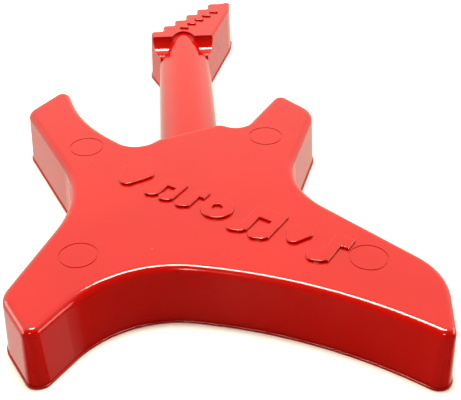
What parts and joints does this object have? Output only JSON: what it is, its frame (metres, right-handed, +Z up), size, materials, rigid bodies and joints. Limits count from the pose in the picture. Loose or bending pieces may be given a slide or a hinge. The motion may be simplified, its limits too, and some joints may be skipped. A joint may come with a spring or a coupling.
{
  "type": "guiro",
  "caption": "Guitar-shaped hollow plastic guiro lying on its ridged front, with a flat moulded back, round neck and stepped headstock.",
  "frame": {"origin": "under the middle of the outline, on the plane that the front cover's border rests on", "axes": "+Z up out of the flat back, +Y along the neck from the body to the headstock, +X to the long lobe's side"},
  "size_m": [0.1696, 0.2916, 0.0271],
  "materials": {
    "shell_plastic": "gloss moulded, slightly translucent red",
    "cover_plastic": "gloss moulded, slightly translucent red",
    "screw_steel": "zinc plated"
  },
  "bodies": {
    "root": {"back_shell": "shell_plastic", "front_cover": "cover_plastic", "cover_screws": "screw_steel"}
  },
  "joints": []
}
